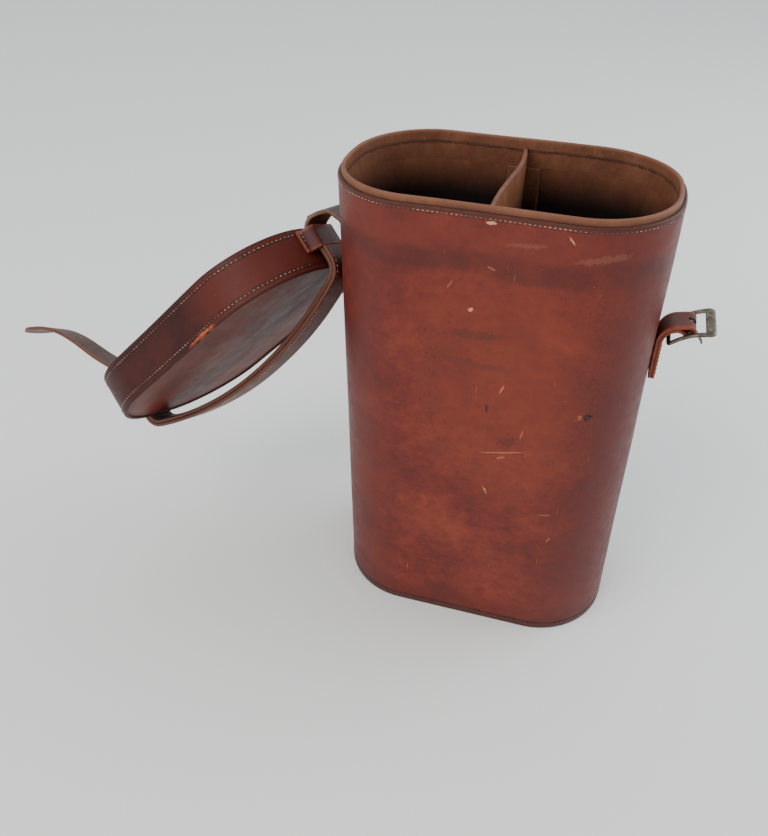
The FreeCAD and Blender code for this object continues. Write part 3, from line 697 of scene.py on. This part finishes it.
strapLook = dict(strap=True, patch=26.0, grain=1.4, bump=0.25, rough=(0.42, 0.56), edge="693c2a", light="a3694c",
                 scratch=0.45, dye=((0.3, "3b1914"), (0.5, "54241a"), (0.7, "6c3222")),
                 flesh=("302923", "483b31"))
waxed = dict(Coat_Weight=0.06, Coat_Roughness=0.35, Specular_IOR_Level=0.35)
strapLeather = leather("strapLeather", strapLook, **waxed)
keeperLeather = leather("keeperLeather", dict(
    strapLook, dye=((0.3, "371310"), (0.5, "491a14"), (0.7, "5a2419")), edge="8a3f28"), **waxed)
chapeLeather = leather("chapeLeather", dict(
    strapLook, dye=((0.3, "381915"), (0.5, "4f241a"), (0.7, "673221")), edge="8e422a", edgeLeast=0.55,
    flesh=("6f3a28", "8b4b33")), Coat_Weight=0.05, Coat_Roughness=0.35, Specular_IOR_Level=0.3)
billetLeather = leather("billetLeather", dict(
    strapLook, marks=[bandMark(44, 200, 14, "4a241b", 0.75, axis=1)]), Specular_IOR_Level=0.3)
foldLeather = leather("foldedStrapLeather", dict(
    strapLook, edge="6e4a34", dye=((0.3, "372019"), (0.5, "4b2c21"), (0.7, "61392a"))),
    Coat_Weight=0.08, Coat_Roughness=0.4)


def lidPath(points):
    # points in the lid's side view, (x, z) and the way the strap's outer face looks, laid in the world
    return measured([(lidPlace @ Vector((x, 0, z)), lidAcross, lidTurn @ Vector((nx, 0, nz)))
                     for x, z, nx, nz in points])


def strapLine(start, heading, moves, step=1.6):
    # the strap's line in side view: a number is a straight run, a pair is a radius and its turn in degrees
    x, z = start
    angle = math.radians(heading)
    points = [(x, z, -math.sin(angle), math.cos(angle))]
    for move in moves:
        long = move if not isinstance(move, tuple) else abs(move[0] * math.radians(move[1]))
        pieces = max(1, round(long / step))
        for _ in range(pieces):
            turn = math.radians(move[1]) / pieces if isinstance(move, tuple) else 0.0
            angle += turn / 2
            x += math.cos(angle) * long / pieces
            z += math.sin(angle) * long / pieces
            angle += turn / 2
            points.append((x, z, -math.sin(angle), math.cos(angle)))
    return points


def edgeStitches(bm, path, inset, surface, pitch, skip):
    # two rows of stitches along a strap, on both its faces
    for face in (1, -1):
        for edge in (-1, 1):
            spots = []
            for count in range(int((path[-1][3] - 2 * skip) / pitch)):
                distance = skip + count * pitch
                index = next(i for i in range(1, len(path)) if path[i][3] >= distance - 1e-6)
                a, b = path[index - 1], path[index]
                share = (distance - a[3]) / max(b[3] - a[3], 1e-6)
                normal = a[2].lerp(b[2], share).normalized() * face
                spot = a[0].lerp(b[0], share) + a[1] * edge * inset + normal * surface
                spots.append((spot, b[0] - a[0], normal))
            stitchRow(bm, spots, 2.1, 0.75, 0.34)


# ---- the handle, two layers sewn together

handle = dict(width=22.0, layer=2.75, clearance=3.2, turnHeight=27.9, turn=12.0, rise=20.0)
nearX = -(caseEnd + outside + handle["clearance"] + handle["layer"])
farX = lid["farReach"]
bowHalf = (farX - nearX) / 2 - handle["turn"] * (1 - math.cos(math.radians(90 - handle["rise"])))
bow = bowHalf / math.sin(math.radians(handle["rise"]))
shoulder = (handle["turn"], handle["rise"] - 90)
handleMoves = [handle["turnHeight"] - lid["keeperHigh"], shoulder, (bow, -2 * handle["rise"]), shoulder,
               handle["turnHeight"] - lid["keeperLow"]]
handleLine = strapLine((nearX, lid["keeperHigh"]), 90, handleMoves)


def warpHandle(path):
    # a strap that has been carried: a slow wander and a slight twist between its two ends
    out = []
    for centre, across, normal, distance in path:
        swell = math.sin(math.pi * min(1.0, distance / path[-1][3]))
        drift = 1.2 * noise.noise(Vector((distance / 70, 4.2, 0))) * swell
        turn = 0.07 * noise.noise(Vector((distance / 60, 9.1, 2))) * swell
        twist = Matrix.Rotation(turn, 3, across.cross(normal))
        out.append((centre + across * drift, twist @ across, twist @ normal, distance))
    return out


handleWorld = warpHandle(lidPath(handleLine))
handleSection = strapSection(handle["width"], handle["layer"] - 0.1, 0.8)
makePiece(domedEnds(layerPath(handleWorld, handle["layer"] / 2), handleSection), "handleStrap", strapLeather,
          "lid", ["handle_strap"])
# the main strap comes up through the keeper and bends out to become the inner layer
mainX = -(caseEnd + outside + 0.3 + 1.4)
leadIn = []
for step in range(13):
    z = lid["keeperLow"] - 1.5 + (lid["keeperHigh"] + 4 - lid["keeperLow"] + 1.5) * step / 13
    s = min(1.0, max(0.0, (z - 8) / 15))
    x = mainX + (nearX + handle["layer"] / 2 - mainX) * eased(s)
    leadIn.append((x, z, -1.0, s * (s - 1)))
leadPath = lidPath(leadIn)
innerPath = layerPath(handleWorld, -handle["layer"] / 2)
keepFrom = next(i for i, spot in enumerate(innerPath) if spot[3] > 5.0)
further = leadPath[-1][3] + 1.0 - innerPath[keepFrom][3]
innerPath = leadPath + [(c, a, n, d + further) for c, a, n, d in innerPath[keepFrom:]]
slimSection = strapSection(handle["width"] - 0.5, handle["layer"] - 0.1, 0.8)
makePiece(domedEnds(innerPath, slimSection), "handleBacking", strapLeather, "lid", ["handle_backing"])
bm = bmesh.new()
edgeStitches(bm, handleWorld, handle["width"] / 2 - 2.5, handle["layer"] + 0.02, 2.9, 3.0)
makePiece(bm, "handleStitches", creamThread, "lid", ())

# ---- the keepers, sewn to the lid's wall on both sides of the strap


def wallX(y):
    # the lid wall's outer face at its ends, at this y
    radius = case["end"] + outside
    if abs(y) < radius * math.sin(joinAngle):
        return -endX + math.sqrt(radius ** 2 - y ** 2)
    radius = case["corner"] + outside
    return cornerX + math.sqrt(radius ** 2 - (abs(y) - cornerY) ** 2)


def keeperPath(side, depth):
    # flat on the wall at both feet, and out over the strap between them
    half, steps = lid["keeperHalf"], 88
    spots = []
    for step in range(steps + 1):
        y = -half + 2 * half * step / steps
        share = eased((16.6 - abs(y)) / 6.2)
        crown = caseEnd + outside + depth + 0.25 * math.cos(math.pi * y / 22)
        x = wallX(y) * (1 - share) + crown * share + lid["keeperThick"] / 2
        spots.append(Vector((side * x, y, (lid["keeperLow"] + lid["keeperHigh"]) / 2)))
    path = []
    for index, spot in enumerate(spots):
        along = (spots[min(index + 1, steps)] - spots[max(index - 1, 0)]).normalized()
        path.append((lidPlace @ spot, lidUp, lidTurn @ Vector((side * abs(along.y), -side * along.x, 0))))
    return measured(path)


keeperSection = strapSection(lid["keeperHigh"] - lid["keeperLow"], lid["keeperThick"], 0.9)
bm = bmesh.new()
for name, side, depth, node in (("hingeKeeper", -1, lid["nearSlot"], "hinge_keeper"),
                                ("farKeeper", 1, lid["farSlot"], "far_keeper")):
    path = keeperPath(side, depth)
    makePiece(domedEnds(path, keeperSection), name, keeperLeather, "lid", [node])
    for want in (2.4, path[-1][3] - 2.4):
        centre, across, normal, _ = min(path, key=lambda item: abs(item[3] - want))
        spots = [(centre + across * (-5.6 + 2.8 * k) + normal * (lid["keeperThick"] / 2 + 0.02), across, normal)
                 for k in range(5)]
        stitchRow(bm, spots, 2.1, 0.8, 0.4)
makePiece(bm, "keeperStitches", creamThread, "lid", ())
print("stage: handle and keepers")

# ---- the strap from the case to the lid, folded three times

strap = dict(width=22.0, thick=2.8, bend=7.5, anchor=30.0)
foldNames = ("lid_fold", "strap_middle_fold", "strap_upper_fold")
folds = [(Vector(joints[name]["pos_m"]) / mm, Vector(joints[name]["axis"]).normalized()) for name in foldNames]
half = strap["width"] / 2


def edgeCrossing(number, side):
    # where a fold line meets one edge of the strap
    point, axis = folds[number]
    before = Vector((0, 0, 1)) if number == 0 else (folds[number][0] - folds[number - 1][0]).normalized()
    squint = axis - before * axis.dot(before)
    return point + axis * side * half / squint.length


waist = (0.56, 0.50, 0.80)  # the strap is cut narrower where it folds
# soft leather takes a shorter way round than its fold lines
slack = (Vector((0, 0, -3.0)), Vector((2.6, 0, -3.4)), Vector((2.6, 0, -1.4)))
crossings = {side: [folds[k][0].lerp(edgeCrossing(k, side), waist[k]) + slack[k] for k in range(3)]
             for side in (-1, 1)}
foot = Vector((folds[0][0].x, 0, folds[0][0].z - strap["anchor"]))
tail = lidPlace @ Vector((mainX, 0, lid["keeperLow"] + 0.6))
ends = {side: (foot + Vector((0, side * half, 0)), tail + lidAcross * side * half) for side in (-1, 1)}


def roundedEdge(side):
    # one edge of the strap as rungs: straight between folds, rounded across each
    corners = [ends[side][0]] + crossings[side] + [ends[side][1]]
    rungs = []
    for number in range(1, 4):
        before, corner, after = corners[number - 1], corners[number], corners[number + 1]
        axis = folds[number - 1][1]
        into = (corner - before).normalized()
        out = (after - corner).normalized()
        a = corner - into * strap["bend"] / (into - axis * into.dot(axis)).length
        b = corner + out * strap["bend"] / (out - axis * out.dot(axis)).length
        rungs.append([a * (1 - t) ** 2 + corner * 2 * t * (1 - t) + b * t * t
                      for t in [k / 10 for k in range(11)]])
    return corners[0], rungs, corners[-1]


leftEdge, rightEdge = roundedEdge(-1), roundedEdge(1)


def rungPath(pairs):
    spots = []
    for index, (low, high) in enumerate(pairs):
        ahead, behind = pairs[min(index + 1, len(pairs) - 1)], pairs[max(index - 1, 0)]
        along = ((ahead[0] + ahead[1]) - (behind[0] + behind[1])).normalized()
        across = (high - low) / strap["width"]
        spots.append(((low + high) / 2, across, along.cross(across)))
    return measured(spots)


def straightRungs(a, b, count, share=(0.0, 1.0)):
    return [(a[0].lerp(b[0], s), a[1].lerp(b[1], s))
            for s in [share[0] + (share[1] - share[0]) * k / count for k in range(count + 1)]]


bends = [list(zip(leftEdge[1][number], rightEdge[1][number])) for number in range(3)]
rootRungs = straightRungs((leftEdge[0], rightEdge[0]), bends[0][0], 10)[:-1] + bends[0]
rootRungs += straightRungs(bends[0][-1], bends[1][0], 4, (0, 0.5))[1:]
middleRungs = straightRungs(bends[0][-1], bends[1][0], 4, (0.5, 1))[:-1] + bends[1]
middleRungs += straightRungs(bends[1][-1], bends[2][0], 4, (0, 0.5))[1:]
topRungs = straightRungs(bends[1][-1], bends[2][0], 4, (0.5, 1))[:-1] + bends[2]
topRungs += straightRungs(bends[2][-1], (leftEdge[2], rightEdge[2]), 3)[1:]
strapCut = strapSection(strap["width"], strap["thick"], 0.9)


def rootScale(step):
    # the sewn foot is cut to a blunt taper
    return ((0.52, 0.7), (0.72, 1.0), (0.9, 1.0))[step] if step < 3 else (1.0, 1.0)


def bendStops(number):
    # just before and just after a fold, square to its line
    point, axis = folds[number]
    a = (bends[number][0][0] + bends[number][0][1]) / 2
    b = (bends[number][-1][0] + bends[number][-1][1]) / 2
    a += axis * (point - a).dot(axis)
    b += axis * (point - b).dot(axis)
    return a * mm, b * mm


for number, (name, rungs, nodes) in enumerate((("strapRoot", rootRungs, ["strap_anchor", "strap_lower"]),
                                               ("strapMiddle", middleRungs, ["strap_upper"]),
                                               ("strapTop", topRungs, ["strap_slider"]))):
    bm = sweep(rungPath(rungs), strapCut, rootScale if number == 0 else None)
    piece = makePiece(bm, name, foldLeather, None, nodes)
    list(bendStops(number))
    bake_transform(piece)
sewn = foot - Vector((strap["thick"] / 2, 0, 0))
anchorSpots = [(sewn + Vector((0, edge * (half - 2.6), 6.0 + 2.7 * k)), up, Vector((-1, 0, 0)))
               for k in range(8) for edge in (-1, 1)]
anchorSpots += [(sewn + Vector((0, -5.6 + 2.8 * k, height)), Vector((0, 1, 0)), Vector((-1, 0, 0)))
                for k in range(5) for height in (3.0, 24.5)]
bm = bmesh.new()
stitchRow(bm, anchorSpots, 2.1, 0.8, 0.4)
makePiece(bm, "anchorStitches", creamThread, "case", ())
print("stage: strap")

# ---- the billet, the strap's free end

billet = dict(width=20.0, thick=2.8, tip=20.0, lean=36.0, twist=20.0)
billetMoves = [5.5, (20.0, billet["lean"]), 22.0, (110.0, -7.0), 14.0, (120.0, 9.0), (75.0, 24.0), 25.6]
billetFrom = (farX, lid["keeperLow"] + 0.5)
billetPath = lidPath(strapLine(billetFrom, -90, billetMoves, 1.8))
billetLong = billetPath[-1][3]


def billetScale(step):
    left = billetLong - billetPath[step][3]
    wide = 1.0 if left > billet["tip"] else max(0.12, math.sin(math.pi / 2 * (left / billet["tip"]) ** 0.85))
    return wide, (1.0 if left > 1.0 else 0.75)


def twistedBillet():
    # it turns a little on itself towards its tip
    path = []
    for centre, across, normal, distance in billetPath:
        share = max(0.0, distance - 12) / billetLong
        twist = Matrix.Rotation(math.radians(billet["twist"]) * share, 3, across.cross(normal))
        path.append((centre, twist @ across, twist @ normal, distance))
    return path


billetSection = strapSection(billet["width"], billet["thick"], 0.9, (0.6, 0.25, 0.0, -0.25, -0.6))
piece = makePiece(sweep(twistedBillet(), billetSection, billetScale), "billet", billetLeather, None, ["billet"])
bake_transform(piece)

# ---- the chape, folded round the buckle's bar and sewn to the case's end

pivot = Vector(joints["buckle_swing"]["pos_m"]) / mm
chape = dict(width=20.4, thick=2.0, footHeight=202.0, upright=26.02, bend=11.0, turn=100.0, reach=3.36,
             loop=2.75, slot=4.6)
chapeMoves = [chape["upright"], (chape["bend"], -chape["turn"]), chape["reach"]]
chapeMiddle = strapLine((caseEnd + chape["thick"], chape["footHeight"]), 90, chapeMoves, 1.0)
openFrom = 7.0  # where the two layers start to part round the bar


def chapeLayer(side):
    # one layer of the folded strip, opening out where it nears the bar
    layer = []
    endX, endZ = chapeMiddle[-1][:2]
    for x, z, nx, nz in chapeMiddle:
        near = max(0.0, 1 - math.hypot(endX - x, endZ - z) / openFrom)
        reach = side * (chape["thick"] / 2 + 0.03 + (chape["loop"] - chape["thick"] / 2) * eased(near))
        layer.append((x + nx * reach, z + nz * reach, side * nx, side * nz))
    return layer


def chapeLoop():
    # half round the bar
    x, z, nx, nz = chapeMiddle[-1]
    first = math.atan2(nz, nx)
    turns = [first - math.radians(12 * step) for step in range(1, 15)]
    return [(x + math.cos(a) * chape["loop"], z + math.sin(a) * chape["loop"], math.cos(a), math.sin(a))
            for a in turns]


chapeLine = chapeLayer(1) + chapeLoop() + chapeLayer(-1)[::-1]
chapeSheet = measured([(Vector((x, 0, z)), Vector((0, 1, 0)), Vector((nx, 0, nz)))
                       for x, z, nx, nz in chapeLine])


def chapeGrid():
    # a flat grid laid along the folded line, its slot for the prong left out
    bm = bmesh.new()
    across = 12
    bmesh.ops.create_grid(bm, x_segments=len(chapeSheet) - 1, y_segments=across, size=1.0)
    wear = bm.verts.layers.float.new("wear")
    flat = bm.verts.layers.float_vector.new("flat")
    rows = [-1, -0.93, -0.7, -0.45, -0.226, -0.11, 0, 0.11, 0.226, 0.45, 0.7, 0.93, 1]
    for vert in bm.verts:
        step = round((vert.co.x + 1) / 2 * (len(chapeSheet) - 1))
        row = round((vert.co.y + 1) / 2 * across)
        centre, side, normal, distance = chapeSheet[step]
        a = rows[row] * chape["width"] / 2
        vert.co = (centre + side * a + normal * chape["thick"] / 2) * mm
        vert[wear] = 1.0 if abs(rows[row]) > 0.9 or step in (0, len(chapeSheet) - 1) else 0.0
        vert[flat] = Vector((a, distance, 20)) * mm
    reach = chape["loop"] + 2.4

    def inSlot(face):
        spot = face.calc_center_median() / mm
        near = (Vector((spot.x, 0, spot.z)) - pivot).length < reach and spot.x > pivot.x - 1.5
        return near and abs(spot.y) < chape["slot"] / 2

    bmesh.ops.delete(bm, geom=[face for face in bm.faces if inSlot(face)], context="FACES")
    bmesh.ops.solidify(bm, geom=list(bm.faces), thickness=chape["thick"] * mm)
    return bm


piece = makePiece(chapeGrid(), "chape", chapeLeather, "case", ["buckle_chape"])
bevel = piece.modifiers.new("eased edges", "BEVEL")
bevel.width, bevel.segments, bevel.limit_method, bevel.angle_limit = 0.45 * mm, 2, "ANGLE", math.radians(50)
seamFrom = Vector((caseEnd + 4.15, 0, chape["footHeight"]))
chapeSpots = [(seamFrom + Vector((0, edge * 7.6, 3.5 + 2.8 * k)), up, Vector((1, 0, 0)))
              for k in range(8) for edge in (-1, 1)]
chapeSpots += [(seamFrom + Vector((0, -7 + 2.8 * k, 2.6)), Vector((0, 1, 0)), Vector((1, 0, 0)))
               for k in range(6)]
bm = bmesh.new()
stitchRow(bm, chapeSpots, 2.1, 0.75, 0.36)
makePiece(bm, "chapeStitches", darkThread, "case", ())

# ---- the buckle

buckle = dict(length=29.6, width=27.0, flare=4.0, arch=2.6, thick=2.4, rail=2.3, outerRail=3.6, outer=5.8,
              inner=2.8, corner=3.6, tilt=25.5, roll=4.5, droop=49.0, bar=1.5)


def nickel(name):
    # nickel-plated steel gone dull: grey-olive, smeared, bright only where it is rubbed
    material, add, fill = newMaterial(name, Metallic=1.0)
    coords = add("TexCoord", {}, "Object")
    smear = add("TexNoise", {"Vector": coords, "Scale": perMm / 5, "Detail": 5, "Roughness": 0.65,
                             "Distortion": 0.6})
    pits = add("TexNoise", {"Vector": coords, "Scale": perMm / 1.2, "Detail": 3, "Roughness": 0.6})
    fill({"Base Color": add("ValToRGB", {0: smear}, stops=((0.35, "4b453a"), (0.66, "857c6c"))),
          "Roughness": add("MapRange", {0: smear, 1: 0.3, 2: 0.7, 3: 0.5, 4: 0.32}, **smooth),
          "Normal": add("Bump", {"Height": pits, "Strength": 0.25, "Distance": 0.2 * mm})})
    return material


tarnishedNickel = nickel("tarnishedNickelPlate")


def tilted(degrees):
    return Matrix.Translation(pivot) @ Matrix.Rotation(math.radians(-degrees), 4, "Y")


def buckleFrame():
    # a closed ring: light rails, a broad outer bar and a lighter inner one
    x, y, r = buckle["length"] / 2, buckle["width"] / 2, buckle["corner"]
    corners = [(x - r, y - r, 0), (r - x, y - r, 90), (r - x, r - y, 180), (x - r, r - y, 270)]
    spots = []
    for number, (cx, cy, first) in enumerate(corners):
        for angle in [math.radians(first + 90 * step / 8) for step in range(9)]:
            spots.append((cx + r * math.cos(angle), cy + r * math.sin(angle), math.cos(angle), math.sin(angle)))
        ax, ay = spots[-1][:2]
        nextX, nextY, turn = corners[(number + 1) % 4]
        nx, ny = math.cos(math.radians(turn)), math.sin(math.radians(turn))
        spots.extend((ax + (nextX + r * nx - ax) * k / 6, ay + (nextY + r * ny - ay) * k / 6, nx, ny)
                     for k in range(1, 6))
    matrix = tilted(buckle["tilt"]) @ Matrix.Rotation(math.radians(buckle["roll"]), 4, "X")
    around = 16

    def widthAt(px, nx):
        rail = buckle["rail"] + (buckle["outerRail"] - buckle["rail"]) * max(0.0, px / x) ** 1.5
        bar = buckle["outer"] if nx > 0 else buckle["inner"]
        return rail + (bar - rail) * nx ** 2

    def spotAt(index, level):
        px, py, nx, ny = spots[level % len(spots)]
        wide = widthAt(px, nx)
        angle = 2 * math.pi * index / around
        # a flattened oval wire, bent to an arch over the strap
        a = math.copysign(abs(math.cos(angle)) ** 0.6, math.cos(angle)) * wide / 2
        b = math.copysign(abs(math.sin(angle)) ** 0.7, math.sin(angle)) * buckle["thick"] / 2
        co = Vector((px + nx * (a - wide / 2), py + ny * (a - wide / 2), b))
        co.y *= 1 + buckle["flare"] / buckle["width"] * max(0.0, co.x / x)
        co.z -= buckle["arch"] * (co.x / x) ** 2
        return matrix @ co, 0.0, (0, 0, 0)

    return loft(around, list(range(len(spots))) + [0], spotAt, closed=True)


makePiece(buckleFrame(), "buckleFrame", tarnishedNickel, "buckle", ["buckle_frame"], 60)
frame["nodes"]["buckle_bar"].data.materials.clear()
frame["nodes"]["buckle_bar"].data.materials.append(tarnishedNickel)


def prongMesh():
    # once round the bar, then out as a tongue that is hooked a little at its point
    radius = buckle["bar"] + 0.8
    turns = [math.radians(-250 + 300 * step / 18) for step in range(17)]
    spots = [(radius * math.cos(angle), radius * math.sin(angle)) for angle in turns]
    spots += [(3.6, 1.1), (5.5, 0.7), (8.0, 0.55), (10.5, 0.5), (12.6, 0.3), (14.0, -0.2), (14.7, -0.7)]
    matrix = tilted(-buckle["droop"])
    path = []
    for index, (x, z) in enumerate(spots):
        after, before = spots[min(index + 1, len(spots) - 1)], spots[max(index - 1, 0)]
        normal = matrix.to_3x3() @ Vector((before[1] - after[1], 0, after[0] - before[0]))
        path.append((matrix @ Vector((x, 0, z)), Vector((0, 1, 0)), normal))
    path = measured(path)

    def scaleAt(step):
        left = path[-1][3] - path[step][3]
        return (1.0 if left > 5 else 0.55 + 0.45 * left / 5), (1.0 if left > 2 else 0.7)

    return sweep(path, strapSection(3.2, 1.5, 0.6, ()), scaleAt)


makePiece(prongMesh(), "prong", tarnishedNickel, "prong", ["buckle_prong"], 60)

# ---- the CAD pieces that show as they are

for node, finish in (("base_lining", calfLining), ("lid_lining", suede)):
    frame["nodes"][node].data.materials.clear()
    frame["nodes"][node].data.materials.append(finish)
print("stage: buckle")

# ---- floor, light and camera

floorBm = bmesh.new()
bmesh.ops.create_grid(floorBm, x_segments=1, y_segments=1, size=8.0)
floorMaterial = newMaterial("paleFloor", Roughness=0.7, Base_Color=hexColour("ecebe7"))[0]
floorMesh = bpy.data.meshes.new("floor")
floorBm.to_mesh(floorMesh)
floorBm.free()
floorMesh.materials.append(floorMaterial)
floor = bpy.data.objects.new("floor", floorMesh)
bpy.context.scene.collection.objects.link(floor)

world = bpy.data.worlds.new("studio")
world.use_nodes = True
backdrop = world.node_tree.nodes["Background"]
backdrop.inputs[0].default_value, backdrop.inputs[1].default_value = hexColour("dfe3e8"), 1.25
bpy.context.scene.world = world


def softBox(name, place, target, size, power, tint):
    light = bpy.data.lights.new(name, "AREA")
    light.shape, light.size, light.energy, light.color = "SQUARE", size, power, tint
    lamp = bpy.data.objects.new(name, light)
    lamp.location = place
    lamp.rotation_euler = (Vector(target) - Vector(place)).to_track_quat("-Z", "Y").to_euler()
    bpy.context.scene.collection.objects.link(lamp)


softBox("window", (-0.9, -1.3, 1.7), (0, 0, 0.15), 1.4, 24, (1.0, 0.97, 0.93))
softBox("room", (1.4, 0.8, 1.1), (0, 0, 0.2), 1.3, 20, (0.88, 0.94, 1.0))

shot = dict(place=(71.575, -454.743, 485.488), aim=(-53.6, 0.0, 131.75), roll=1.175, lens=34.62, shiftX=-0.0382,
            shiftY=-0.0044)
camera = bpy.data.objects.new("camera", bpy.data.cameras.new("camera"))
camera.data.lens, camera.data.sensor_width = shot["lens"], 36.0
camera.data.shift_x, camera.data.shift_y = shot["shiftX"], shot["shiftY"]
look = Vector(shot["aim"]) - Vector(shot["place"])
turn = look.to_track_quat("-Z", "Y").to_matrix().to_4x4() @ Matrix.Rotation(math.radians(shot["roll"]), 4, "Z")
camera.matrix_world = Matrix.Translation(Vector(shot["place"]) * mm) @ turn
camera.data.clip_start, camera.data.clip_end = 0.01, 50.0
bpy.context.scene.collection.objects.link(camera)
bpy.context.scene.camera = camera
print("stage: camera")
